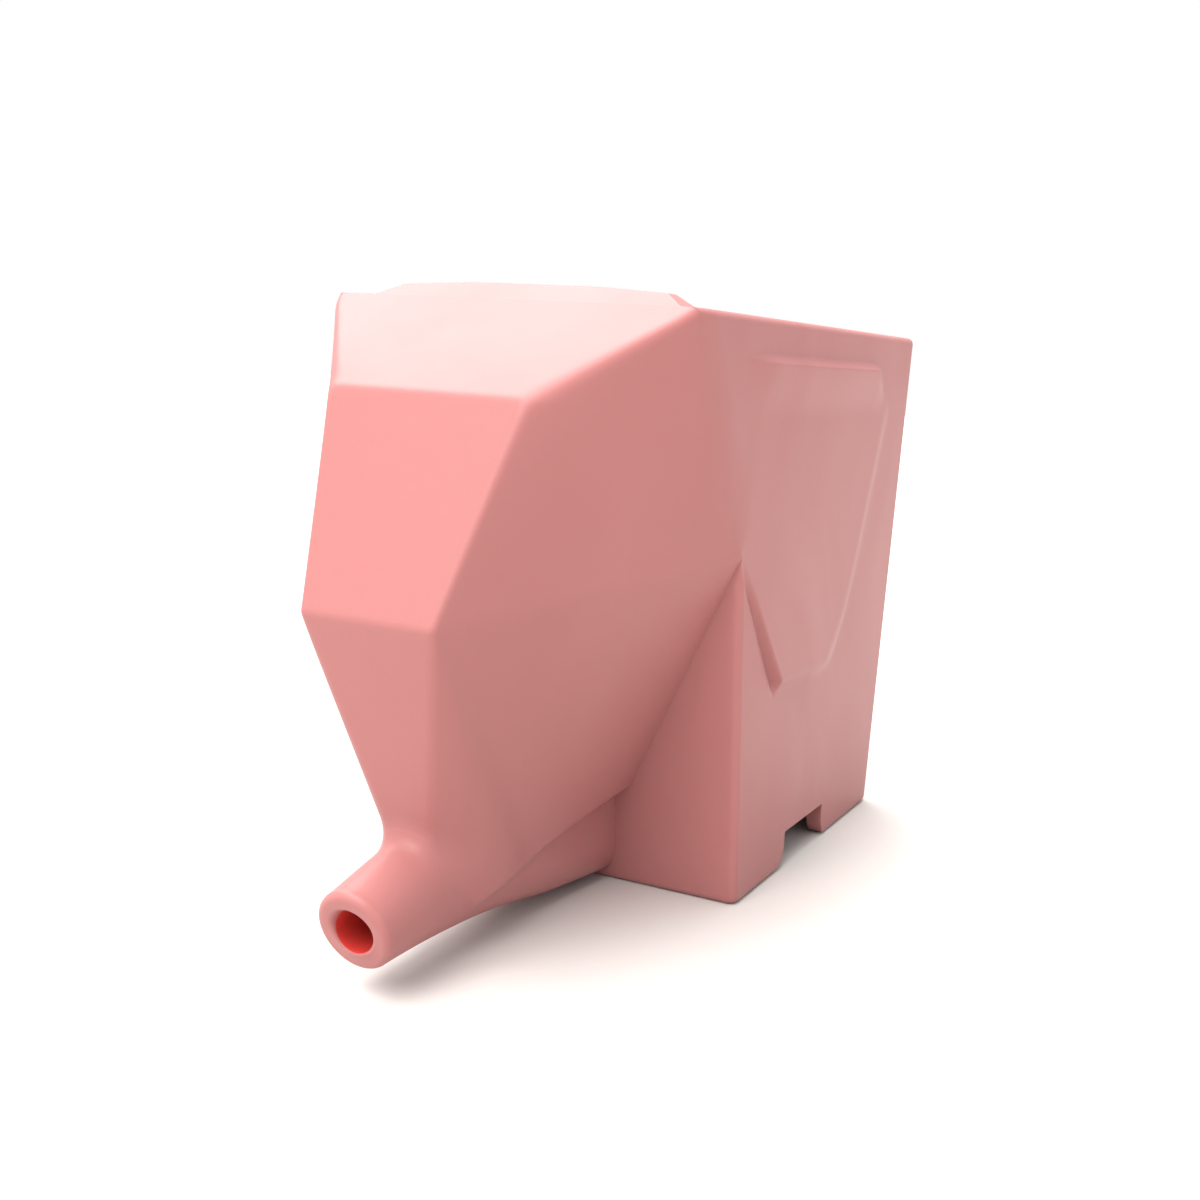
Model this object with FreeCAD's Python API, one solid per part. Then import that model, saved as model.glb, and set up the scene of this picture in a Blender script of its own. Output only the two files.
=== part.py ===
import FreeCAD, Part
import math
import os

# Cutlery drainer in the shape of an elephant, in millimetres, +Z up.
# X runs from the back wall to the tip of the trunk, Y to the elephant's left.
# While it is being built, X = 0 is the back foot on the worktop.
# At the end everything moves so that the origin is the bottom centre of the whole object.

# --- Overall body ---
HEIGHT = 130.0            # worktop to the rim
BASE_LENGTH = 96.0        # back foot to chest foot
HALF_WIDTH_BASE = 42.4    # half of the width at the feet
HALF_WIDTH_RIM = 42.8     # half of the width at the rim
BACK_LEAN = 9.0           # the back wall leans out by this much at the rim
CHEST_LEAN = 15.0         # the chest leans forward by this much if it ran up to the rim
WALL = 2.2                # wall of both outer shells

# --- Head: each corner's reach forward, half width and height ---
NECK_HEIGHT = 80.5        # where cheek, ear and leg meet
NECK_RUN = 35.0           # chest foot to the rim's front corner
BROW_REACH = 26.5         # ahead of the rim's front corner
BROW_HALF_WIDTH = 22.0
BROW_DROP = 18.0          # below the rim
NOSE_REACH = 43.5         # ahead of the rim's front corner
NOSE_HALF_WIDTH = 14.5
NOSE_DROP = 58.5          # below the rim
TRUNK_BROW_REACH = 64.5   # ahead of the chest foot, where the face runs into the trunk
TRUNK_BROW_HALF_WIDTH = 4.0
TRUNK_BROW_HEIGHT = 27.0
CHIN_REACH = 53.0         # ahead of the chest foot, where the cheek runs into the trunk
CHIN_HALF_WIDTH = 8.4
CHIN_HEIGHT = 13.5
JAW_HALF_WIDTH = 15.7
JAW_HEIGHT = 24.2
HEAD_ROUNDING = 2.6

# --- Trunk ---
TIP_REACH = 81.5          # chest foot to the centre of the tip's face
TIP_HEIGHT = 13.7
TIP_RADIUS = 8.0
TIP_TILT = 18.0           # degrees that the tip's face looks down
TIP_ROUNDING = 1.4
BORE_RADIUS = 4.4
DRAIN_SLOPE = 3.3         # degrees of fall along the bore
ROOT_HALF_WIDTH = 12.8    # root of the trunk at the chest
ROOT_TOP = 27.0
ROOT_LIFT = 0.8           # underside of the trunk's root above the worktop
SECTION_POINTS = 24

# --- Feet ---
ARCH_HEIGHT = 9.4
ARCH_LENGTH = 26.4
FRONT_FOOT = 29.3         # the arch to the chest foot
FOOT_ROUNDING = 6.0
SKIRT_ROUNDING = 1.6
BACK_ROUNDING = 4.0
RIM_ROUNDING = 0.8
FOOT_WALL = 4.0           # wall of the skirt below the ledge

# --- Ledge and drain pan ---
LEDGE_TOP = 12.0
LEDGE_THICKNESS = 1.8
LEDGE_WIDTH = 2.5
PAN_GAP = 0.3             # clearance round the pan
PAN_WALL = 1.8
PAN_HEIGHT = 12.0
PAN_FLOOR = 2.0
PAN_FALL = 4.5            # how much higher the pan's floor is at the back
SPOUT_WALL = 1.5
SPOUT_LENGTH = 22.0       # how far the spout reaches past the chest
SPOUT_FIT = 0.15          # radial clearance of the spout in its socket

# --- Strainer cup ---
CUP_GAP = 0.5             # clearance round the cup
CUP_LIFT = 0.4            # clearance under the cup
CUP_WALL = 1.6
CUP_FLOOR = 2.0
CUP_BELOW_RIM = 1.5
SLOT_WIDTH = 4.5
SLOT_PITCH = 9.0
SLOT_MARGIN = 7.0
TAB_RISE = 3.6            # the finger tab's middle stands this far above the rim
TAB_SHOULDER = 2.7        # and its ends this far
TAB_HALF_TOP = 15.0
TAB_HALF_SHOULDER = 31.0
TAB_HALF_FOOT = 36.0
TAB_THICKNESS = 2.2
RIB_DEPTH = 3.0
RIB_THICKNESS = 2.0

# --- Divider ---
DIVIDER_FROM_CHEST = 41.0
DIVIDER_THICKNESS = 1.8
DIVIDER_GAP = 0.35        # clearance round the divider
DIVIDER_BELOW_CUP = 10.0
NOTCH_WIDTH = 26.0
NOTCH_DEPTH = 14.0

# --- Ear relief ---
EAR_TOP_DROP = 7.5        # below the rim
EAR_TOP_FRONT_REACH = 20.0    # ahead of the chest foot, where the top edge fades into the side
EAR_TOP_CROWN_REACH = 10.0    # ahead of the chest foot, where it reaches its full height
EAR_TOP_BACK_X = 25.0     # the next five from the back foot
EAR_BACK_X = 12.0
EAR_WAIST_X = 26.0
EAR_HIP_X = 33.0
EAR_HEM_X = 46.0
EAR_TIP_BACK = 15.5       # behind the chest foot
EAR_BACK_DROP = 10.5      # below the ear's top
EAR_WAIST_HEIGHT = 75.5
EAR_HIP_HEIGHT = 60.5
EAR_HEM_HEIGHT = 47.0
EAR_TIP_HEIGHT = 48.0
EAR_TOP_PROUD = 1.2       # how far each corner stands out from the side
EAR_BACK_PROUD = 0.9
EAR_HEM_PROUD = 1.6
EAR_TIP_PROUD = 2.6
EAR_FRONT_PROUD = 0.15
EAR_ROOT = 1.0            # how deep the relief is rooted in the wall

FAR = 400.0               # longer than anything here


def vec(x, y, z):
    return FreeCAD.Vector(x, y, z)


def mirrored(point):
    return vec(point.x, -point.y, point.z)


def half_width(z):
    return HALF_WIDTH_BASE + (HALF_WIDTH_RIM - HALF_WIDTH_BASE) * z / HEIGHT


def chest_x(z):
    return BASE_LENGTH + CHEST_LEAN * z / HEIGHT


def back_x(z):
    return -BACK_LEAN * z / HEIGHT


# --- Corners of the head's left half, and places that follow from the body ---
CREST = vec(BASE_LENGTH + NECK_RUN, HALF_WIDTH_RIM, HEIGHT)
NECK = vec(chest_x(NECK_HEIGHT), half_width(NECK_HEIGHT), NECK_HEIGHT)
JAW = vec(chest_x(JAW_HEIGHT), JAW_HALF_WIDTH, JAW_HEIGHT)
BROW = vec(CREST.x + BROW_REACH, BROW_HALF_WIDTH, HEIGHT - BROW_DROP)
NOSE = vec(CREST.x + NOSE_REACH, NOSE_HALF_WIDTH, HEIGHT - NOSE_DROP)
TRUNK_BROW = vec(BASE_LENGTH + TRUNK_BROW_REACH, TRUNK_BROW_HALF_WIDTH, TRUNK_BROW_HEIGHT)
CHIN = vec(BASE_LENGTH + CHIN_REACH, CHIN_HALF_WIDTH, CHIN_HEIGHT)
TIP_X = BASE_LENGTH + TIP_REACH
DIVIDER_X = BASE_LENGTH - DIVIDER_FROM_CHEST


# --- Small geometry helpers ---

def polygon_face(points):
    return Part.Face(Part.makePolygon(points + [points[0]]))


def side_prism(outline, half=FAR):
    """Solid of an X-Z outline, as wide as 2 * half about the middle plane."""
    face = polygon_face([vec(x, -half, z) for x, z in outline])
    return face.extrude(vec(0, 2 * half, 0))


def width_prism(inset):
    """Long solid along X whose sides are the body's sides, moved in by inset."""
    low = half_width(-HEIGHT) - inset
    high = half_width(2 * HEIGHT) - inset
    corners = [(-low, -HEIGHT), (low, -HEIGHT), (high, 2 * HEIGHT), (-high, 2 * HEIGHT)]
    face = polygon_face([vec(-FAR, y, z) for y, z in corners])
    return face.extrude(vec(2 * FAR, 0, 0))


def moved_line(start, end, inset):
    """The line from start to end, moved to its left by inset, as a point and a direction."""
    dx = end[0] - start[0]
    dz = end[1] - start[1]
    length = math.hypot(dx, dz)
    return (start[0] - dz / length * inset, start[1] + dx / length * inset), (dx, dz)


def crossing(first, second):
    (px, pz), (ux, uz) = first
    (qx, qz), (vx, vz) = second
    along = ((qx - px) * vz - (qz - pz) * vx) / (ux * vz - uz * vx)
    return px + along * ux, pz + along * uz


def inset_outline(outline, insets):
    """An anticlockwise X-Z outline with each edge moved in by its own inset."""
    count = len(outline)
    lines = [moved_line(outline[i], outline[(i + 1) % count], insets[i]) for i in range(count)]
    return [crossing(lines[i - 1], lines[i]) for i in range(count)]


def body_outline():
    return [
        (0.0, 0.0),
        (BASE_LENGTH, 0.0),
        (NECK.x, NECK.z),
        (CREST.x, CREST.z),
        (back_x(HEIGHT), HEIGHT),
    ]


def level_slab(bottom, top):
    return side_prism([(-FAR, bottom), (FAR, bottom), (FAR, top), (-FAR, top)])


def inner_block(inset, bottom, top):
    """What fits inside the shells: inset from every wall, between two heights."""
    outline = inset_outline(body_outline(), [-HEIGHT, inset, inset, -HEIGHT, inset])
    block = side_prism(outline).common(width_prism(inset))
    return block.common(level_slab(bottom, top))


def plane_of(a, b, c, inside, inset):
    """Plane through three corners, moved inset towards the point inside, as normal and offset."""
    normal = (b - a).cross(c - a)
    normal.normalize()
    if normal.dot(inside - a) < 0:
        normal = normal * -1
    return normal, normal.dot(a) + inset


def meet(p, q, r):
    """The point where three planes meet."""
    n1, d1 = p
    n2, d2 = q
    n3, d3 = r
    volume = n1.dot(n2.cross(n3))
    return (n2.cross(n3) * d1 + n3.cross(n1) * d2 + n1.cross(n2) * d3) * (1.0 / volume)


# --- Body shell ---

def body_block():
    """The solid outside of the body, with its upright back edges and its feet rounded."""
    block = side_prism(body_outline()).common(width_prism(0.0))
    back_edges = [e for e in block.Edges if is_back_edge(e)]
    block = block.makeFillet(BACK_ROUNDING, back_edges)
    skirt = [e for e in block.Edges if e.BoundBox.ZMax < 0.01]
    block = block.makeFillet(SKIRT_ROUNDING, skirt)
    rim = [e for e in block.Edges if is_rim_edge(e) and not is_crest(e)]
    return block.makeFillet(RIM_ROUNDING, rim)


def is_back_edge(edge):
    box = edge.BoundBox
    return box.ZLength > HEIGHT * 0.9 and box.XMax < 1.0


def is_rim_edge(edge):
    return edge.BoundBox.ZMin > HEIGHT - 0.01


def is_crest(edge):
    """Whether an edge is the outer front edge of the rim, where the head joins."""
    return edge.BoundBox.XMin > CREST.x - 0.01


def arch_cut():
    """The gap between front and back feet, through both sides, with rounded feet."""
    end = BASE_LENGTH - FRONT_FOOT
    start = end - ARCH_LENGTH
    opening = side_prism(sorted_box(start, end, -1.0, ARCH_HEIGHT))
    for x, side in ((start, -1.0), (end, 1.0)):
        flare = side_prism(sorted_box(x, x + side * FOOT_ROUNDING, -1.0, FOOT_ROUNDING))
        centre = vec(x + side * FOOT_ROUNDING, -FAR, FOOT_ROUNDING)
        round_foot = Part.makeCylinder(FOOT_ROUNDING, 2 * FAR, centre, vec(0, 1, 0))
        below = side_prism(sorted_box(x, x + side * FOOT_ROUNDING, -1.0, 0.0))
        opening = opening.fuse(flare.cut(round_foot).fuse(below))
    return opening.removeSplitter()


def sorted_box(x0, x1, z0, z1):
    low = min(x0, x1)
    high = max(x0, x1)
    return [(low, z0), (high, z0), (high, z1), (low, z1)]


def body_cavity():
    """The pot above the ledge, open at the rim."""
    return inner_block(WALL, LEDGE_TOP, 1.5 * HEIGHT)


def ear(side):
    """Raised ear: an upper and a lower facet that meet in a soft diagonal fold."""
    top = HEIGHT - EAR_TOP_DROP
    rim = [
        (NECK.x - 0.4, NECK_HEIGHT, EAR_FRONT_PROUD),
        (BASE_LENGTH + EAR_TOP_FRONT_REACH, top, EAR_FRONT_PROUD),
        (BASE_LENGTH + EAR_TOP_CROWN_REACH, top, EAR_TOP_PROUD),
        (EAR_TOP_BACK_X, top, EAR_TOP_PROUD),
        (EAR_BACK_X, top - EAR_BACK_DROP, EAR_BACK_PROUD),
        (EAR_WAIST_X, EAR_WAIST_HEIGHT, EAR_BACK_PROUD),
        (EAR_HIP_X, EAR_HIP_HEIGHT, EAR_BACK_PROUD),
        (EAR_HEM_X, EAR_HEM_HEIGHT, EAR_HEM_PROUD),
        (BASE_LENGTH - EAR_TIP_BACK, EAR_TIP_HEIGHT, EAR_TIP_PROUD),
    ]
    outer = [vec(x, side * (half_width(z) + proud), z) for x, z, proud in rim]
    inner = [vec(x, side * (half_width(z) - EAR_ROOT), z) for x, z, proud in rim]
    faces = []
    for i in range(1, len(rim) - 1):
        faces.append(polygon_face([outer[0], outer[i], outer[i + 1]]))
        faces.append(polygon_face([inner[0], inner[i], inner[i + 1]]))
    for i in range(len(rim)):
        j = (i + 1) % len(rim)
        faces.append(polygon_face([outer[i], outer[j], inner[j]]))
        faces.append(polygon_face([outer[i], inner[j], inner[i]]))
    return closed_solid(faces)


def spout_axis():
    """A point on the drain's axis at the tip and its direction back up the drain."""
    slope = math.radians(DRAIN_SLOPE)
    return vec(TIP_X, 0, TIP_HEIGHT), vec(-math.cos(slope), 0, math.sin(slope))


def drain_cylinder(radius, from_x, to_x):
    """Round rod along the drain's axis between two X positions, square to the axis."""
    tip, uphill = spout_axis()
    start = tip + uphill * ((tip.x - to_x) / -uphill.x)
    length = (to_x - from_x) / -uphill.x
    return Part.makeCylinder(radius, length, start, uphill)


def socket_end_x():
    return chest_x(TIP_HEIGHT) + SPOUT_LENGTH


def socket_radius():
    return BORE_RADIUS + SPOUT_WALL + SPOUT_FIT


def body_shell():
    shell = body_block().cut(body_cavity())
    for side in (1.0, -1.0):
        shell = shell.fuse(ear(side))
    ledge_bottom = LEDGE_TOP - LEDGE_THICKNESS
    shell = shell.cut(inner_block(FOOT_WALL, -5.0, ledge_bottom))
    shell = shell.cut(inner_block(WALL + LEDGE_WIDTH, -5.0, LEDGE_TOP + 5.0))
    shell = shell.cut(arch_cut())
    shell = shell.cut(drain_cylinder(socket_radius(), chest_x(0) - 20.0, socket_end_x()))
    return shell.removeSplitter()


# --- Head shell ---

def head_faces(crest, brow, nose, trunk, chin, jaw, neck):
    """All faces of the head's hull. The sides and cheeks are gently twisted."""
    faces = []
    outline = [crest, brow, nose, trunk, chin, jaw, neck]
    for a, b in zip(outline, outline[1:] + outline[:1]):
        faces.append(polygon_face([a, b, mirrored(b), mirrored(a)]))
    for flip in (lambda p: p, mirrored):
        faces.append(twisted_face(flip(crest), flip(neck), flip(brow), flip(nose)))
        faces.append(twisted_face(flip(neck), flip(jaw), flip(nose), flip(chin)))
        faces.append(polygon_face([flip(nose), flip(trunk), flip(chin)]))
    return faces


def twisted_face(a, b, c, d):
    return Part.makeRuledSurface(Part.makeLine(a, b), Part.makeLine(c, d))


def closed_solid(faces):
    """Solid inside a closed set of faces, with its skin facing outwards."""
    shell = Part.makeShell(faces)
    shell.sewShape()
    if shell.Volume < 0:
        shell.reverse()
    return Part.Solid(shell)


def head_hull():
    return closed_solid(head_faces(CREST, BROW, NOSE, TRUNK_BROW, CHIN, JAW, NECK))


def rounded_hull():
    """The hull with its outer edges rounded, and its seam to the body left sharp."""
    hull = head_hull()
    corners = (BROW, NOSE)
    edges = [e for e in hull.Edges if touches(e, corners)]
    return hull.makeFillet(HEAD_ROUNDING, edges)


def touches(edge, corners):
    for vertex in edge.Vertexes:
        for corner in corners:
            if vertex.Point.distanceToPoint(corner) < 0.01:
                return True
            if vertex.Point.distanceToPoint(mirrored(corner)) < 0.01:
                return True
    return False


def head_hollow():
    """The head's inside: every corner moved in by the wall, and run out past the open back."""
    inside = (CREST + NECK + NOSE + JAW) * 0.25
    inside.y = 0.0
    past = -3.0
    forehead = plane_of(CREST, BROW, mirrored(BROW), inside, WALL)
    face = plane_of(BROW, NOSE, mirrored(NOSE), inside, WALL)
    muzzle = plane_of(NOSE, TRUNK_BROW, mirrored(TRUNK_BROW), inside, WALL)
    throat = plane_of(TRUNK_BROW, CHIN, mirrored(CHIN), inside, WALL)
    under = plane_of(CHIN, JAW, mirrored(JAW), inside, WALL)
    neck_plane = plane_of(CREST, NECK, mirrored(NECK), inside, past)
    chest_plane = plane_of(NECK, JAW, mirrored(JAW), inside, past)
    crest = meet(forehead, plane_of(CREST, BROW, NECK, inside, WALL), neck_plane)
    brow = meet(forehead, face, plane_of(BROW, CREST, NOSE, inside, WALL))
    nose = (meet(face, muzzle, plane_of(NOSE, BROW, NECK, inside, WALL))
            + meet(face, muzzle, plane_of(NOSE, NECK, CHIN, inside, WALL))) * 0.5
    temple = plane_of(NOSE, TRUNK_BROW, CHIN, inside, WALL)
    trunk = meet(muzzle, throat, temple)
    chin = meet(throat, under, temple)
    jaw = meet(chest_plane, under, plane_of(JAW, NECK, CHIN, inside, WALL))
    neck = meet(chest_plane, plane_of(NECK, CREST, NOSE, inside, WALL),
                plane_of(NECK, NOSE, JAW, inside, WALL))
    return closed_solid(head_faces(crest, brow, nose, trunk, chin, jaw, neck))


def section_wire(x, bottom, top, half, squareness, tilt=0.0):
    """Closed section across the trunk: a rounded box that can turn into a circle."""
    middle = 0.5 * (bottom + top)
    reach = 0.5 * (top - bottom)
    points = []
    for i in range(SECTION_POINTS):
        angle = 2 * math.pi * i / SECTION_POINTS
        y = half * signed_power(math.cos(angle), 2.0 / squareness)
        up = reach * signed_power(math.sin(angle), 2.0 / squareness)
        lean = math.radians(tilt)
        points.append(vec(x + up * math.sin(lean), y, middle + up * math.cos(lean)))
    curve = Part.BSplineCurve()
    curve.interpolate(Points=points, PeriodicFlag=True)
    return Part.Wire(curve.toShape())


def signed_power(value, power):
    return math.copysign(abs(value) ** power, value)


def trunk_block():
    """The trunk from the chest to its tip."""
    tip_low = TIP_HEIGHT - TIP_RADIUS
    tip_high = TIP_HEIGHT + TIP_RADIUS
    span = TIP_X - BASE_LENGTH
    sections = [
        section_wire(BASE_LENGTH - 4.0, ROOT_LIFT, ROOT_TOP, ROOT_HALF_WIDTH, 4.0),
        section_wire(BASE_LENGTH + 0.27 * span, 0.42 * tip_low, ROOT_TOP, 1.31 * TIP_RADIUS, 3.0),
        section_wire(BASE_LENGTH + 0.54 * span, 0.92 * tip_low, ROOT_TOP + 1.5, 1.20 * TIP_RADIUS, 2.4),
        section_wire(BASE_LENGTH + 0.79 * span, tip_low, ROOT_TOP - 0.5, 1.08 * TIP_RADIUS, 2.0),
        section_wire(TIP_X, tip_low, tip_high, TIP_RADIUS, 2.0, TIP_TILT),
    ]
    trunk = Part.makeLoft(sections, True, False)
    lip = [e for e in trunk.Edges if e.BoundBox.XMin > TIP_X - TIP_RADIUS]
    return trunk.makeFillet(TIP_ROUNDING, lip)


def head_shell():
    """Hollow cap with the trunk, drilled along the drain and cut flat to fit the chest."""
    behind_chest = side_prism([
        (chest_x(-HEIGHT), -HEIGHT),
        (NECK.x, NECK.z),
        (-FAR, NECK.z),
        (-FAR, -HEIGHT),
    ])
    head = rounded_hull().fuse(trunk_block())
    head = head.cut(head_hollow())
    head = head.cut(drain_cylinder(socket_radius(), chest_x(0) - 20.0, socket_end_x()))
    head = head.cut(drain_cylinder(BORE_RADIUS, chest_x(0) - 20.0, TIP_X + 20.0))
    return head.cut(behind_chest)


# --- Drain pan ---

def drain_pan():
    """Tray under the cup: its floor falls to a spout that plugs into the trunk."""
    inset = WALL + PAN_GAP
    top = LEDGE_TOP + PAN_HEIGHT
    block = inner_block(inset, LEDGE_TOP, top)
    box = block.BoundBox
    back = box.XMin - 5.0
    front = box.XMax + 5.0
    fall = PAN_FALL / BASE_LENGTH
    low = LEDGE_TOP + PAN_FLOOR + 0.2
    high = low + fall * (front - back)
    hollow = side_prism([(back, high), (front, low), (front, 2 * top), (back, 2 * top)])
    hollow = hollow.common(inner_block(inset + PAN_WALL, -5.0, top + 5.0))
    under = side_prism([
        (back, -5.0),
        (front, -5.0),
        (front, low - PAN_FLOOR),
        (back, high - PAN_FLOOR),
    ])
    under = under.common(inner_block(inset + PAN_WALL, -5.0, top + 5.0))
    pan = block.cut(hollow).cut(under)
    spout_back = chest_x(TIP_HEIGHT) - inset - 0.5 * PAN_WALL - 1.5
    spout = drain_cylinder(BORE_RADIUS + SPOUT_WALL, spout_back, socket_end_x() - PAN_GAP)
    pan = pan.fuse(spout.common(level_slab(-FAR, top)))
    pan = pan.cut(drain_cylinder(BORE_RADIUS, spout_back - 6.0, FAR))
    return pan.removeSplitter()


# --- Strainer cup ---

def cup_bottom():
    return LEDGE_TOP + PAN_HEIGHT + CUP_LIFT


def strainer_cup():
    """Lift-out cup with a slotted floor, divider ribs and a finger tab at the front."""
    inset = WALL + CUP_GAP
    bottom = cup_bottom()
    top = HEIGHT - CUP_BELOW_RIM
    hollow = inner_block(inset + CUP_WALL, bottom + CUP_FLOOR, top + 20.0)
    cup = inner_block(inset, bottom, top).cut(hollow)
    cup = cup.fuse(finger_tab(inset, top))
    for slot in floor_slots(hollow, bottom):
        cup = cup.cut(slot)
    ribs = divider_ribs(hollow, bottom, top)
    return cup.fuse(ribs).removeSplitter()


def finger_tab(inset, top):
    """Crowned upstand on the front wall, to lift the cup by. It leans back with the forehead."""
    neck_line = moved_line((NECK.x, NECK.z), (CREST.x, CREST.z), inset)
    foot = top - 1.0
    front = crossing(neck_line, ((0.0, foot), (1.0, 0.0)))[0]
    high = HEIGHT + TAB_RISE
    shoulder = HEIGHT + TAB_SHOULDER
    back = front - TAB_RISE * BROW_REACH / BROW_DROP - TAB_THICKNESS
    outline = [
        (-TAB_HALF_FOOT, foot),
        (TAB_HALF_FOOT, foot),
        (TAB_HALF_FOOT, HEIGHT),
        (TAB_HALF_SHOULDER, shoulder),
        (TAB_HALF_TOP, high),
        (-TAB_HALF_TOP, high),
        (-TAB_HALF_SHOULDER, shoulder),
        (-TAB_HALF_FOOT, HEIGHT),
    ]
    face = polygon_face([vec(back, y, z) for y, z in outline])
    leaning = side_prism([
        (back, foot),
        (front, foot),
        (front, HEIGHT),
        (front - TAB_RISE * BROW_REACH / BROW_DROP, high),
        (back, high),
    ])
    return face.extrude(vec(FAR, 0, 0)).common(leaning)


def floor_slots(hollow, bottom):
    """Slots across the cup's floor, clear of the walls and of the divider."""
    floor = hollow.common(level_slab(bottom, bottom + CUP_FLOOR + 0.1))
    box = floor.BoundBox
    half = box.YMax - SLOT_MARGIN
    run = box.XLength - 2 * SLOT_MARGIN - SLOT_WIDTH
    count = int(run // SLOT_PITCH) + 1
    first = box.XMin + SLOT_MARGIN + 0.5 * SLOT_WIDTH + 0.5 * (run - (count - 1) * SLOT_PITCH)
    slots = []
    for i in range(count):
        x = first + i * SLOT_PITCH
        if abs(x - DIVIDER_X) < 0.5 * SLOT_WIDTH + RIB_THICKNESS + DIVIDER_THICKNESS:
            continue
        slots.append(Part.makeBox(SLOT_WIDTH, 2 * half, 3 * CUP_FLOOR,
                                  vec(x - 0.5 * SLOT_WIDTH, -half, bottom - CUP_FLOOR)))
    return slots


def divider_ribs(hollow, bottom, top):
    """Two pairs of ribs on the cup's sides that the divider slides between."""
    ribs = None
    half_slot = 0.5 * DIVIDER_THICKNESS + DIVIDER_GAP
    for x0 in (DIVIDER_X - half_slot - RIB_THICKNESS, DIVIDER_X + half_slot):
        slab = Part.makeBox(RIB_THICKNESS, FAR, top - DIVIDER_BELOW_CUP - bottom - CUP_FLOOR,
                            vec(x0, -0.5 * FAR, bottom + CUP_FLOOR))
        inside = width_prism(WALL + CUP_GAP + CUP_WALL + RIB_DEPTH)
        pair = slab.common(width_prism(WALL + CUP_GAP + 0.5 * CUP_WALL)).cut(inside)
        ribs = pair if ribs is None else ribs.fuse(pair)
    return ribs


# --- Divider ---

def cup_divider():
    """Plate across the cup, with a notch in its top edge to pull it out by."""
    low = cup_bottom() + CUP_FLOOR + DIVIDER_GAP
    high = HEIGHT - CUP_BELOW_RIM - DIVIDER_BELOW_CUP
    plate = Part.makeBox(DIVIDER_THICKNESS, FAR, high - low,
                         vec(DIVIDER_X - 0.5 * DIVIDER_THICKNESS, -0.5 * FAR, low))
    plate = plate.common(width_prism(WALL + CUP_GAP + CUP_WALL + DIVIDER_GAP))
    notch = Part.makeBox(FAR, NOTCH_WIDTH, 2 * NOTCH_DEPTH,
                         vec(-0.5 * FAR, -0.5 * NOTCH_WIDTH, high - NOTCH_DEPTH))
    return plate.cut(notch)


# --- Everything ---

def build():
    pieces = {
        "body_shell": body_shell(),
        "head_shell": head_shell(),
        "drain_pan": drain_pan(),
        "strainer_cup": strainer_cup(),
        "cup_divider": cup_divider(),
    }
    outer = Part.makeCompound([pieces["body_shell"], pieces["head_shell"]])
    box = outer.optimalBoundingBox(True, False)
    shift = vec(-0.5 * (box.XMin + box.XMax), 0, 0)
    os.makedirs("parts", exist_ok=True)
    for name, shape in pieces.items():
        shape.translate(shift)
        shape.exportStep("parts/" + name + ".step")
        print(name, "solids", len(shape.Solids), "valid", shape.isValid(),
              "volume", round(shape.Volume), "box", shape.BoundBox)
    print("shift", round(shift.x, 4))


build()
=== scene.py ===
import logging
import math
from dataclasses import dataclass, field
from enum import Enum
from typing import Any, Sequence

import bmesh
import bpy
import numpy as np
from bpy.types import Material, Object
from mathutils import Matrix, Vector


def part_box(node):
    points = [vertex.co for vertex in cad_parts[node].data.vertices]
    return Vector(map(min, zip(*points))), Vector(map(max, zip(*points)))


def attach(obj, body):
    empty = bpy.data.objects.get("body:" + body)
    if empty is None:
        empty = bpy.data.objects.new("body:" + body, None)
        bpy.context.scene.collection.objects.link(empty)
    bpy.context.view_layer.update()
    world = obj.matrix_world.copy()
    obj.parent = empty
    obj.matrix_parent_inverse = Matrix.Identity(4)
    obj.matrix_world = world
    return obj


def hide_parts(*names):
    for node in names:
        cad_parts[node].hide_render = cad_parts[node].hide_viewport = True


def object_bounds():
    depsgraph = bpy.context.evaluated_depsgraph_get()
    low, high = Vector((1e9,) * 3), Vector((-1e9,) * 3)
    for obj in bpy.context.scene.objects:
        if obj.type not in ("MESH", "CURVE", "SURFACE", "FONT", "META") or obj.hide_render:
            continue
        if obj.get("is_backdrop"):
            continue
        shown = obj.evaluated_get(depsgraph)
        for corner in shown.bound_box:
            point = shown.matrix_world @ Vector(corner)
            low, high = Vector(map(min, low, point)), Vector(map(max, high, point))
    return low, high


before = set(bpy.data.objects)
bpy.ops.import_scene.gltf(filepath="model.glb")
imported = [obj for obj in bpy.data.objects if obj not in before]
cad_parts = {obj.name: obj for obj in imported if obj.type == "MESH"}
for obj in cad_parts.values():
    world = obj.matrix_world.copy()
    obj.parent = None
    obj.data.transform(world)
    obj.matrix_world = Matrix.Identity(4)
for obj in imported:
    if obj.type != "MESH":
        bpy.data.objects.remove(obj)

log = logging.getLogger("cutlery_drainer")

Array = np.ndarray
Point = tuple[float, float, float]

MM = 0.001
QUARTER_TURN = 0.5 * math.pi
WELD_DISTANCE = 1e-7  # metres
BEVELLED_ANGLE = 34.0  # degrees; a carried-over node's flatter edges aren't rounded


class Shading(Enum):
    """How the faces of a mesh meet when they are lit: the angle in degrees that stays sharp."""

    SOFT = 180.0
    HEAD = 50.0
    POT = 38.0


# --- Colour, nodes and meshes ---


def linear(hex_colour: str) -> tuple[float, float, float, float]:
    """Turns an sRGB hex colour into the linear values that shaders use.

    Args:
        hex_colour: The colour as "#rrggbb".

    Returns:
        Red, green and blue, linear, and an alpha of 1.
    """
    values = [int(hex_colour[i:i + 2], 16) / 255.0 for i in (1, 3, 5)]
    turned = [v / 12.92 if v <= 0.04045 else ((v + 0.055) / 1.055) ** 2.4 for v in values]
    return turned[0], turned[1], turned[2], 1.0


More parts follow.
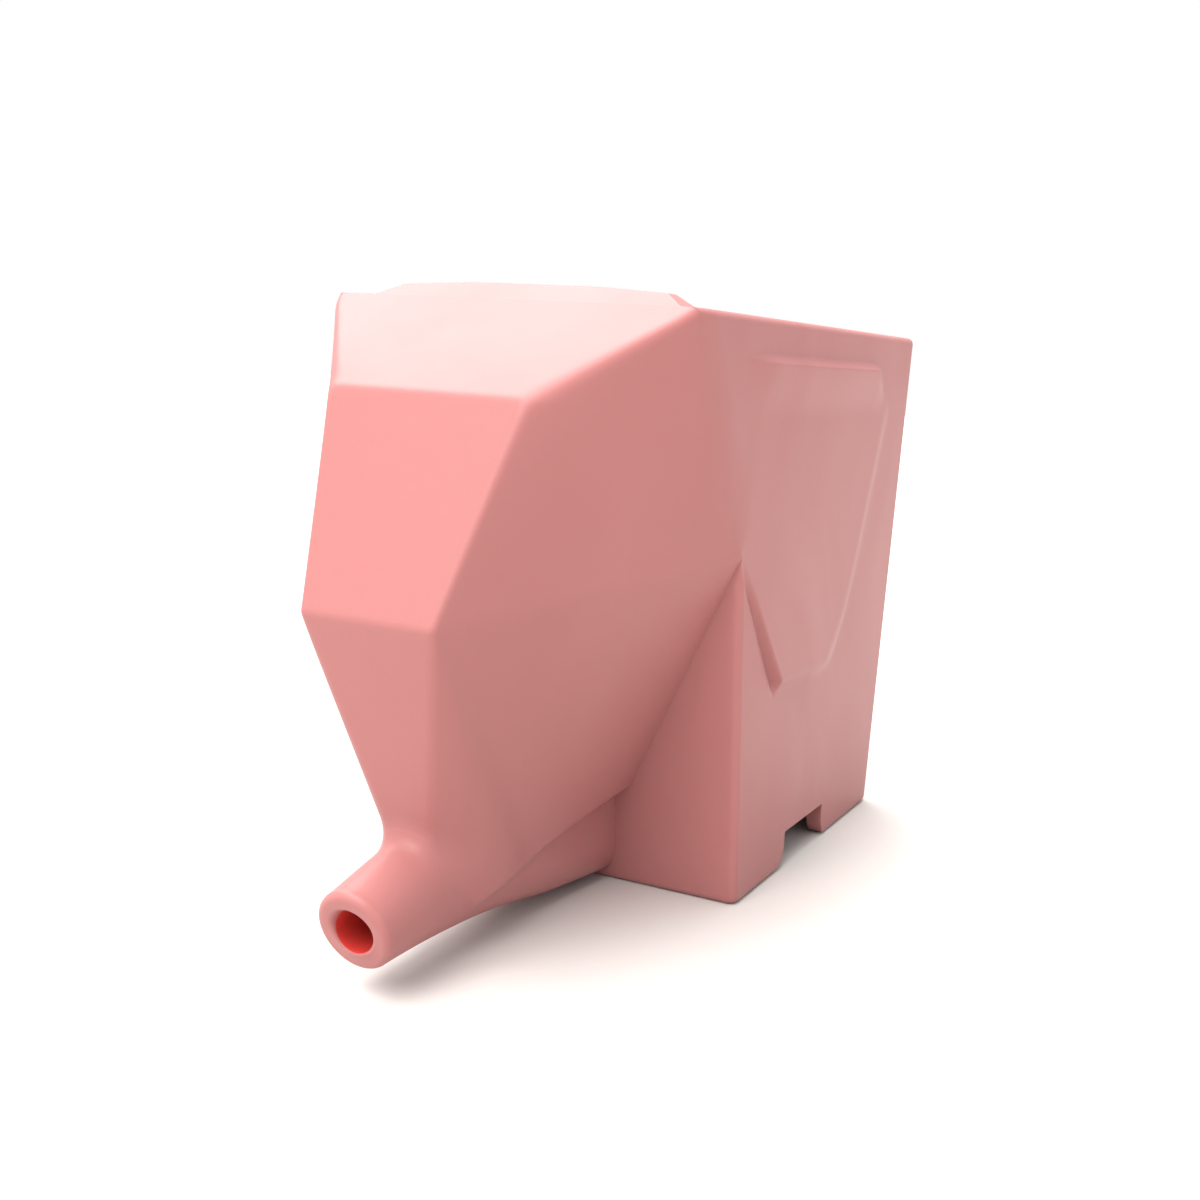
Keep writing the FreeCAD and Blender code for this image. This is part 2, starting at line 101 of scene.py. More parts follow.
def add_node(
    tree: bpy.types.NodeTree,
    kind: str,
    settings: dict[Any, Any] | None = None,
    links: dict[Any, bpy.types.NodeSocket] | None = None,
) -> bpy.types.Node:
    """Adds one shader node with its settings and what feeds it.

    Args:
        tree: The node tree it goes into.
        kind: The node's type name.
        settings: Values by socket name or number, or by the node's own property name.
        links: Output sockets by the name or number of the input that they feed.

    Returns:
        The new node.
    """
    node = tree.nodes.new(kind)
    for name, value in (settings or {}).items():
        if isinstance(name, int) or name in node.inputs:
            node.inputs[name].default_value = value
        else:
            setattr(node, name, value)
    for name, source in (links or {}).items():
        tree.links.new(source, node.inputs[name])
    return node


def mesh_piece(
    name: str,
    points: Sequence[Sequence[float]],
    faces: Sequence[Sequence[int]],
    material: Material | None,
) -> Object:
    """Makes a closed mesh object from points in millimetres.

    Args:
        name: The piece's name.
        points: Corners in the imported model's frame, in millimetres.
        faces: Corner numbers of each face.
        material: What the piece is made of, or None for a cutting tool.

    Returns:
        The object, linked to the scene, shaded smoothly, with its faces turned outwards.
    """
    mesh = bpy.data.meshes.new(name)
    scaled = [(p[0] * MM, p[1] * MM, p[2] * MM) for p in points]
    mesh.from_pydata(scaled, [], [tuple(int(i) for i in f) for f in faces])
    shaped = bmesh.new()
    shaped.from_mesh(mesh)
    bmesh.ops.remove_doubles(shaped, verts=shaped.verts, dist=WELD_DISTANCE)
    bmesh.ops.recalc_face_normals(shaped, faces=shaped.faces)
    shaped.to_mesh(mesh)
    shaped.free()
    shade(mesh, Shading.SOFT)
    if material is not None:
        mesh.materials.append(material)
    made = bpy.data.objects.new(name, mesh)
    bpy.context.scene.collection.objects.link(made)
    return made


def shade(mesh: bpy.types.Mesh, shading: Shading) -> None:
    """Shades a mesh smoothly, apart from the edges that its shading keeps sharp."""
    mesh.shade_smooth()
    mesh.set_sharp_from_angle(angle=math.radians(shading.value))


def tube_faces(rings: int, count: int) -> list[tuple[int, int, int, int]]:
    """Faces between rings of points, the last of which closes onto the first.

    Args:
        rings: How many rings there are.
        count: Points in each ring.

    Returns:
        Four corner numbers for each face.
    """
    faces = []
    for i in range(rings):
        start, after = i * count, ((i + 1) % rings) * count
        faces.extend(
            (start + j, start + (j + 1) % count, after + (j + 1) % count, after + j)
            for j in range(count))
    return faces


def prism(name: str, outline: Sequence[tuple[float, float]], half: float) -> Object:
    """Makes a closed solid of an X-Z outline, straight across the whole width.

    Args:
        name: The solid's name.
        outline: Corners as X and Z, in millimetres.
        half: How far it reaches to each side, in millimetres.

    Returns:
        The solid, without a material.
    """
    count = len(outline)
    points = [(x, side * half, z) for side in (-1.0, 1.0) for x, z in outline]
    faces = [tuple(range(count)), tuple(range(count, 2 * count))[::-1]]
    faces += [(i, (i + 1) % count, count + (i + 1) % count, count + i) for i in range(count)]
    return mesh_piece(name, points, faces, None)


def cut_away(piece: Object, tool: Object) -> None:
    """Cuts a tool's shape out of a piece and removes the tool.

    Args:
        piece: The piece that stays.
        tool: The solid that is taken away.
    """
    cut = piece.modifiers.new("cut", "BOOLEAN")
    cut.operation = "DIFFERENCE"
    cut.solver = "EXACT"
    cut.object = tool
    depsgraph = bpy.context.evaluated_depsgraph_get()
    shaped = bpy.data.meshes.new_from_object(piece.evaluated_get(depsgraph))
    piece.modifiers.clear()
    old = piece.data
    piece.data = shaped
    shaped.name = piece.name
    bpy.data.meshes.remove(old)
    bpy.data.objects.remove(tool)


def soften_edges(node: Object, width_mm: float) -> None:
    """Rounds the sharp edges of a carried-over node without changing its mesh.

    Args:
        node: The node's object.
        width_mm: Width of the rounding.
    """
    rounding = node.modifiers.new("edge_rounding", "BEVEL")
    rounding.width = width_mm * MM
    rounding.segments = 2
    rounding.limit_method = "ANGLE"
    rounding.angle_limit = math.radians(BEVELLED_ANGLE)
    rounding.harden_normals = True
    rounding.miter_outer = "MITER_ARC"


# --- Finishes ---


@dataclass(frozen=True)
class MouldedPolypropylene:
    """Injection-moulded polypropylene: a waxy, slightly see-through plastic with a satin skin.

    The mould's fine spark-eroded grain breaks up reflections, the pigment swirls faintly where
    the melt flowed, and light sinks a few millimetres in, which warms the shaded sides.
    """

    name: str
    colour: str
    flow_colour: str
    roughness: float = 0.4
    gloss: float = 0.22
    glow: float = 0.12
    glow_depth_mm: float = 3.5
    glow_tint: Point = (1.0, 0.35, 0.28)
    grain_mm: float = 0.35
    grain_depth_mm: float = 0.012
    flow_mm: float = 38.0
    flow_stretch: float = 0.45
    ripple_mm: float = 11.0
    ripple_depth_mm: float = 0.035

    def make(self) -> Material:
        """Builds the node material.

        Returns:
            The material.
        """
        material = bpy.data.materials.new(self.name)
        material.use_nodes = True
        tree = material.node_tree
        tree.nodes.clear()
        place = add_node(tree, "ShaderNodeTexCoord").outputs["Object"]
        # Pigment flow: the melt ran mainly along the walls, so the swirls are drawn out.
        stretch = add_node(
            tree, "ShaderNodeMapping", {"Scale": (1.0, 1.0, self.flow_stretch)}, {"Vector": place})
        flow = add_node(
            tree, "ShaderNodeTexNoise",
            {"Scale": 1.0 / (self.flow_mm * MM), "Detail": 3.0, "Roughness": 0.55,
             "Distortion": 0.8},
            {"Vector": stretch.outputs["Vector"]})
        colour = add_node(
            tree, "ShaderNodeMix",
            {"data_type": "RGBA", 6: linear(self.colour), 7: linear(self.flow_colour)},
            {0: flow.outputs["Fac"]})
        # Spark-eroded mould grain. Its real grit is near 0.05 mm; it is drawn coarser to show.
        grain = add_node(
            tree, "ShaderNodeTexNoise",
            {"Scale": 1.0 / (self.grain_mm * MM), "Detail": 2.0, "Roughness": 0.6},
            {"Vector": place})
        # Cooling ripple: walls this thin never cool quite flat, so long highlights waver.
        ripple = add_node(
            tree, "ShaderNodeTexNoise",
            {"Scale": 1.0 / (self.ripple_mm * MM), "Detail": 1.0, "Roughness": 0.4},
            {"Vector": place})
        waves = add_node(
            tree, "ShaderNodeBump",
            {"Strength": 1.0, "Distance": self.ripple_depth_mm * MM},
            {"Height": ripple.outputs["Fac"]})
        skin = add_node(
            tree, "ShaderNodeBump",
            {"Strength": 1.0, "Distance": self.grain_depth_mm * MM},
            {"Height": grain.outputs["Fac"], "Normal": waves.outputs["Normal"]})
        # Handling polishes the skin unevenly, so the gloss drifts a little from place to place.
        polish = add_node(
            tree, "ShaderNodeMapRange",
            {"From Min": 0.3, "From Max": 0.7,
             "To Min": self.roughness - 0.04, "To Max": self.roughness + 0.05},
            {"Value": flow.outputs["Fac"]})
        shader = add_node(
            tree, "ShaderNodeBsdfPrincipled",
            {"IOR": 1.49, "Metallic": 0.0, "Specular IOR Level": self.gloss,
             "Subsurface Weight": self.glow,
             "Subsurface Radius": self.glow_tint, "Subsurface Scale": self.glow_depth_mm * MM},
            {"Base Color": colour.outputs[2], "Roughness": polish.outputs["Result"],
             "Normal": skin.outputs["Normal"]})
        add_node(tree, "ShaderNodeOutputMaterial", links={"Surface": shader.outputs["BSDF"]})
        return material


@dataclass(frozen=True)
class PaintedBoard:
    """Matt white painted board, rolled smooth: the surface that the drainer stands on."""

    name: str = "rolled_white_board"
    colour: str = "#c6c2bf"
    roughness: float = 0.6
    tooth_mm: float = 0.8
    tooth_depth_mm: float = 0.01

    def make(self) -> Material:
        """Builds the node material.

        Returns:
            The material.
        """
        material = bpy.data.materials.new(self.name)
        material.use_nodes = True
        tree = material.node_tree
        tree.nodes.clear()
        place = add_node(tree, "ShaderNodeTexCoord").outputs["Object"]
        tooth = add_node(
            tree, "ShaderNodeTexNoise",
            {"Scale": 1.0 / (self.tooth_mm * MM), "Detail": 2.0}, {"Vector": place})
        paint = add_node(
            tree, "ShaderNodeBump", {"Strength": 0.4, "Distance": self.tooth_depth_mm * MM},
            {"Height": tooth.outputs["Fac"]})
        shader = add_node(
            tree, "ShaderNodeBsdfPrincipled",
            {"Base Color": linear(self.colour), "Roughness": self.roughness},
            {"Normal": paint.outputs["Normal"]})
        add_node(tree, "ShaderNodeOutputMaterial", links={"Surface": shader.outputs["BSDF"]})
        return material


PINK_SHELL = MouldedPolypropylene("moulded_pp_pink_satin", "#a26967", "#9d6563")
PINK_INSERT = MouldedPolypropylene("moulded_pp_pink_insert", "#a66e6c", "#a06967", roughness=0.42)
PALE_INSERT = MouldedPolypropylene(
    "moulded_pp_pale_pan", "#b9aea7", "#b3a7a0", roughness=0.42, glow_tint=(1.0, 0.8, 0.7))
# Painted shade and glow: the bore is coloured a deep red that stands in for the shade in the
# trunk's hollow and the light that comes red through its thin wall.
BORE_PAINTED_SHADE = MouldedPolypropylene(
    "moulded_pp_pink_bore_painted_shade", "#c63d37", "#bb3832", roughness=0.5, gloss=0.2, glow=0.3)


# --- The pot ---


@dataclass
class PotFrame:
    """How the pot's walls stand, in millimetres from the back foot."""

    base_length: float = 96.0
    neck_height: float = 80.5
    half_width_base: float = 42.4
    half_width_rim: float = 42.8
    back_lean: float = 9.0
    chest_lean: float = 15.0
    back_foot: float = field(init=False)
    height: float = field(init=False)
    crest: float = field(init=False)

    def __post_init__(self) -> None:
        """Reads the places of the back foot, the rim and its front corner."""
        low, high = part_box("body_shell")
        self.back_foot = low[0] / MM + self.back_lean
        self.height = high[2] / MM
        self.crest = high[0] / MM - self.back_foot

    def half_width(self, z: float) -> float:
        """Half of the pot's width at a height."""
        return self.half_width_base + (self.half_width_rim - self.half_width_base) * z / self.height

    def chest_x(self, z: float) -> float:
        """How far forward the chest stands at a height."""
        return self.base_length + self.chest_lean * z / self.height


@dataclass(frozen=True)
class EarCorner:
    """One corner of the ear's relief: place, how far it stands out, how soft its next edge is."""

    x: float
    z: float
    proud: float
    soft: float


@dataclass
class Ear:
    """The ear: a flat flap in low relief that grows out of the head's side.

    Its top edge is a rounded rib. Its front lower edge stands clear of the shoulder, over a
    narrow groove.
    """

    pot: PotFrame
    groove_width: float = 1.7
    groove_depth: float = 0.9
    rib_height: float = 1.45
    rib_fall: float = 13.0
    rib_fade: float = 17.0
    rib_front: float = 6.0
    rib_back: float = 9.0
    rib_rise: float = 12.0
    edge_start: float = 0.35
    groove_middle: float = 0.55
    groove_slope: float = 0.75
    groove_rise: float = 3.0
    groove_start: float = 0.4
    groove_fade: float = 14.0
    corners: list[EarCorner] = field(init=False)

    def __post_init__(self) -> None:
        """Places the corners, going round from the neck over the top."""
        base = self.pot.base_length
        top = self.pot.height - 7.5
        neck = self.pot.neck_height
        self.corners = [
            EarCorner(self.pot.chest_x(neck) - 0.4, neck, 0.0, 12.0),
            EarCorner(base + 20.0, top, 0.0, 3.0),
            EarCorner(base + 2.0, top, 0.3, 3.0),
            EarCorner(25.0, top, 0.8, 5.0),
            EarCorner(12.0, top - 10.5, 0.8, 8.5),
            EarCorner(26.0, 75.5, 0.8, 8.5),
            EarCorner(33.0, 60.5, 0.8, 7.0),
            EarCorner(46.0, 47.0, 1.2, 4.0),
            EarCorner(base - 15.5, 48.0, 1.9, 1.3),
        ]

    def relief(self, x: Array, z: Array) -> Array:
        """How far the side stands out from its flat.

        Args:
            x: Places along the side.
            z: Heights.

        Returns:
            The relief in millimetres.
        """
        first = self.corners[0]
        height = np.zeros_like(x)
        for a, b in zip(self.corners[1:-1], self.corners[2:]):
            area = (a.x - first.x) * (b.z - first.z) - (b.x - first.x) * (a.z - first.z)
            u = ((x - first.x) * (b.z - first.z) - (b.x - first.x) * (z - first.z)) / area
            v = ((a.x - first.x) * (z - first.z) - (x - first.x) * (a.z - first.z)) / area
            here = (u >= 0.0) & (v >= 0.0)
            value = first.proud + u * (a.proud - first.proud) + v * (b.proud - first.proud)
            height = np.where(here, value, height)
        mask = np.ones_like(x)
        for a, b in zip(self.corners, self.corners[1:] + self.corners[:1]):
            length = math.hypot(b.x - a.x, b.z - a.z)
            inward = ((x - a.x) * (a.z - b.z) + (z - a.z) * (b.x - a.x)) / length
            mask = mask * ease(inward / a.soft + self.edge_start)
        crown, back = self.corners[1], self.corners[3]
        rib = self.rib_height * ease(1.0 - (crown.z - z) / self.rib_fall)
        rib = rib * ease((crown.x - self.rib_front - x) / self.rib_fade)
        rib = rib * ease((x - back.x + self.rib_back) / self.rib_rise)
        height = height + rib
        tip = self.corners[-1]
        run = math.hypot(first.x - tip.x, first.z - tip.z)
        along = ((x - tip.x) * (first.x - tip.x) + (z - tip.z) * (first.z - tip.z)) / run
        off = ((x - tip.x) * (first.z - tip.z) - (z - tip.z) * (first.x - tip.x)) / run
        from_middle = np.abs(off / self.groove_width - self.groove_middle)
        across = np.clip(1.0 - from_middle / self.groove_slope, 0.0, 1.0)
        ends = ease(along / self.groove_rise + self.groove_start)
        ends = ends * ease((run - along) / self.groove_fade)
        return height * mask - self.groove_depth * ease(across) * ends


def ease(value: Array) -> Array:
    """A soft step from 0 to 1."""
    t = np.clip(value, 0.0, 1.0)
    return t * t * (3.0 - 2.0 * t)


@dataclass
class Pot:
    """The open pot that is the elephant's body and legs, one moulding with an even wall."""

    walls: PotFrame
    ear: Ear
    form: "HeadForm"
    wall: float = 2.2
    foot_wall: float = 4.0
    back_rounding: float = 4.0
    leg_rounding: float = 1.8
    skirt_rounding: float = 1.8
    rim_rounding: float = 1.7
    rim_inner_rounding: float = 0.45
    ledge_top: float = 12.0
    ledge_thickness: float = 1.8
    ledge_width: float = 2.5
    arch_start: float = 40.3
    arch_end: float = 66.7
    arch_height: float = 9.4
    foot_rounding: float = 6.0
    spout_hole: float = 6.05
    spout_hole_height: float = 18.2
    corner_fade: float = 7.0
    least_back_rounding: float = 1.2
    foot_bevel: float = 0.6
    side_steps: int = 190
    side_even_share: float = 0.85
    side_eased_share: float = 0.15
    front_points: int = 18
    front_share: float = 0.97
    back_points: int = 12
    back_share: float = 0.95
    plain_heights: tuple[float, ...] = (4.0, 8.0, 12.0, 20.0, 28.0, 36.0)
    ear_heights: Point = (43.0, 120.0, 0.8)
    rib_step: float = 0.3
    gap_below_rim: float = 0.4
    inner_top: float = 130.0
    inner_step: float = 5.0
    inner_heights: tuple[float, ...] = (77.0, 60.0, 36.0)

    def front_x(self, z: float) -> float:
        """Where the front wall stands at a height: chest below the neck, then the neck.

        Args:
            z: The height.

        Returns:
            Its place along X, from the back foot.
        """
        pot = self.walls
        if z <= pot.neck_height:
            return pot.chest_x(z)
        share = (z - pot.neck_height) / (pot.height - pot.neck_height)
        return pot.chest_x(pot.neck_height) * (1.0 - share) + pot.crest * share

    def half(self, x: Array, z: float) -> Array:
        """Half width along the side, which turns in a little towards the head above the neck."""
        straight = np.full_like(x, self.walls.half_width(z))
        return straight if z < self.walls.neck_height else self.form.half(x, np.full_like(x, z))[0]

    def outline(
        self, z: float, inset: float, lift: float, relief: bool, front_inset: float | None = None,
    ) -> Array:
        """The pot's outline at one height.

        Args:
            z: Height that the walls are read at.
            inset: How far inside the outer walls the outline runs.
            lift: Height that the points get.
            relief: Whether the ears stand out of it.
            front_inset: The same for the front wall, where it differs.

        Returns:
            Points round the left half from front to back, then back along the right half.
        """
        pot = self.walls
        below_head = float(ease(np.array((pot.neck_height - z) / self.corner_fade)))
        front_r = self.leg_rounding * below_head
        back_r = max(self.back_rounding - inset, self.least_back_rounding)
        front = self.front_x(z) - (inset if front_inset is None else front_inset)
        back = -pot.back_lean * z / pot.height + inset
        turn = np.linspace(0.0, QUARTER_TURN, 9)
        eased = 0.5 * (1.0 - np.cos(np.linspace(0.0, math.pi, self.side_steps)))
        even = np.linspace(0.0, 1.0, self.side_steps)
        share = self.side_even_share * even + self.side_eased_share * eased
        way = front - front_r + (back + back_r - front + front_r) * share
        corner_x = front - front_r * (1.0 - np.cos(turn))
        rear_x = back + back_r * (1.0 - np.sin(turn))
        corner_y = self.half(corner_x, z) - inset - front_r * (1.0 - np.sin(turn))
        rear_y = pot.half_width(z) - inset - back_r * (1.0 - np.cos(turn))
        side_x = way[1:-1]
        side_y = self.half(side_x, z) - inset
        if relief:
            side_y = side_y + self.ear.relief(side_x, np.full_like(side_x, z))
        front_y = corner_y[0] * np.linspace(0.0, self.front_share, self.front_points)
        back_y = rear_y[-1] * np.linspace(self.back_share, 0.0, self.back_points)
        left = np.vstack([
            np.column_stack([np.full(self.front_points, front), front_y]),
            np.column_stack([corner_x, corner_y]),
            np.column_stack([side_x, side_y]),
            np.column_stack([rear_x, rear_y]),
            np.column_stack([np.full(self.back_points, back), back_y]),
        ])
        right = left[1:-1][::-1] * np.array([1.0, -1.0])
        ring = np.vstack([left, right])
        return np.column_stack([ring, np.full(len(ring), lift)])

    def rings(self) -> list[Array]:
        """Makes all rings of the wall's skin: up the outside, over the rim, down the inside.

        Returns:
            The rings in order, the last of which closes onto the first.
        """
        pot = self.walls
        top = pot.height
        skirt = self.skirt_rounding
        rim = self.rim_rounding
        lip = self.rim_inner_rounding
        rings = []
        for t in np.linspace(0.0, QUARTER_TURN, 7):
            inset = skirt * (1.0 - math.sin(t))
            rings.append(self.outline(0.0, inset, skirt * (1.0 - math.cos(t)), False))
        ear_low, rib_low, ear_step = self.ear_heights
        heights = {*self.plain_heights, pot.neck_height, *np.arange(ear_low, rib_low, ear_step)}
        heights |= {*np.arange(rib_low, top - rim - self.gap_below_rim, self.rib_step)}
        rings.extend(self.outline(z, 0.0, z, True) for z in sorted(heights))
        for t in np.linspace(0.0, QUARTER_TURN, 9):
            z = top - rim * (1.0 - math.sin(t))
            rings.append(self.outline(z, rim * (1.0 - math.cos(t)), z, False, 0.0))
        for t in np.linspace(0.0, QUARTER_TURN, 5):
            z = top - lip * (1.0 - math.cos(t))
            rings.append(self.outline(z, self.wall - lip * (1.0 - math.sin(t)), z, False))
        for z in (*np.arange(self.inner_top, pot.neck_height, -self.inner_step), pot.neck_height,
                  *self.inner_heights, self.ledge_top):
            rings.append(self.outline(z, self.wall, z, False))
        ledge = self.wall + self.ledge_width
        under = self.ledge_top - self.ledge_thickness
        for inset, z in ((ledge, self.ledge_top), (ledge, under), (self.foot_wall, under),
                         (self.foot_wall, self.foot_bevel),
                         (self.foot_wall - self.foot_bevel, 0.0)):
            rings.append(self.outline(z, inset, z, False))
        return rings

    def cutters(self) -> list[Object]:
        """Makes tools for the arch between the feet and for the spout's hole in the chest.

        Returns:
            The two tools.
        """
        below, half_across, half_deep, count = -2.0, 70.0, 9.0, 48
        r = self.foot_rounding
        outline = [(self.arch_start - r, below)]
        for t in np.linspace(0.0, QUARTER_TURN, 9):
            outline.append((self.arch_start - r + r * math.sin(t), r - r * math.cos(t)))
        outline += [(self.arch_start, self.arch_height), (self.arch_end, self.arch_height)]
        for t in np.linspace(QUARTER_TURN, 0.0, 9):
            outline.append((self.arch_end + r - r * math.sin(t), r - r * math.cos(t)))
        outline.append((self.arch_end + r, below))
        shift = self.walls.back_foot
        arch = prism("arch_tool", [(x + shift, z) for x, z in outline], half_across)
        # Turned by half a step, so that no corner of the tool falls on the pot's middle line.
        turn = (np.arange(count) + 0.5) * math.pi / (0.5 * count)
        hole, height = self.spout_hole, self.spout_hole_height
        chest = self.walls.chest_x(height) + shift
        points = [(chest + x, hole * math.cos(t), height + hole * math.sin(t))
                  for x in (-half_deep, half_deep) for t in turn]
        faces = [tuple(range(count))[::-1], tuple(range(count, 2 * count))]
        faces += [(i, (i + 1) % count, count + (i + 1) % count, count + i) for i in range(count)]
        return [arch, mesh_piece("spout_hole_tool", points, faces, None)]

    def build(self, shell: Material) -> Object:
        """Builds the pot's moulding.

        Args:
            shell: The shell's finish.

        Returns:
            The piece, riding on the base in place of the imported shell.
        """
        rings = self.rings()
        points = np.vstack(rings)
        points[:, 0] += self.walls.back_foot
        faces = tube_faces(len(rings), len(rings[0]))
        piece = mesh_piece("elephant_pot_skin", points, faces, shell)
        for tool in self.cutters():
            cut_away(piece, tool)
        shade(piece.data, Shading.POT)
        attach(piece, "base")
        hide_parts("body_shell")
        log.info("elephant_pot_skin built with %d faces", len(piece.data.polygons))
        return piece


# --- The head ---


def smooth_max(a: Array, b: Array, k: Array | float) -> Array:
    """The larger of two distances, with the corner between them rounded over a width k."""
    h = np.maximum(k - np.abs(a - b), 0.0) / k
    return np.maximum(a, b) + h * h * k * 0.25


def smooth_min(a: Array, b: Array, k: Array) -> Array:
    """The smaller of two distances, with the valley between them filled over a width k."""
    h = np.maximum(k - np.abs(a - b), 0.0) / k
    return np.minimum(a, b) - h * h * k * 0.25


FACET_REACH = (-0.8, 1.8)  # how far past its edges a facet is read, in shares of its size
STEEPEST_SQUARED = 9.0  # a lean steeper than 3 in 1 is read as that


@dataclass(frozen=True)
class Facet:
    """A gently twisted facet whose four edges are straight, read as a half width.

    Its corners are at the upper back, upper front, lower back and lower front.
    """

    corners: tuple[Array, Array, Array, Array]

    def half(self, x: Array, z: Array) -> tuple[Array, Array]:
        """Reads the facet.

        Args:
            x: Places along the head.
            z: Heights.

        Returns:
            The half width there, and how much longer the skin is than its side view.
        """
        a, b, c, d = self.corners
        u, v, w = b - a, c - a, a - b - c + d
        qx, qz = x - a[0], z - a[2]
        square = v[0] * w[2] - v[2] * w[0]
        turn = v[0] * u[2] - v[2] * u[0]
        first = turn - (qx * w[2] - qz * w[0])
        rest = qz * u[0] - qx * u[2]
        root = np.sqrt(np.maximum(first * first - 4.0 * square * rest, 0.0))
        total = first + math.copysign(1.0, turn) * root
        down = np.clip(-2.0 * rest / np.where(np.abs(total) < 1e-6, 1e-6, total), *FACET_REACH)
        sx, sz = u[0] + down * w[0], u[2] + down * w[2]
        along = ((qx - down * v[0]) * sx + (qz - down * v[2]) * sz) / (sx * sx + sz * sz)
        along = np.clip(along, *FACET_REACH)
        tx, tz = v[0] + along * w[0], v[2] + along * w[2]
        area = sx * tz - sz * tx
        hu, hv = u[1] + down * w[1], v[1] + along * w[1]
        slope_x, slope_z = (hu * tz - hv * sz) / area, (hv * sx - hu * tx) / area
        width = a[1] + along * u[1] + down * v[1] + along * down * w[1]
        return width, np.sqrt(1.0 + np.minimum(slope_x ** 2 + slope_z ** 2, STEEPEST_SQUARED))


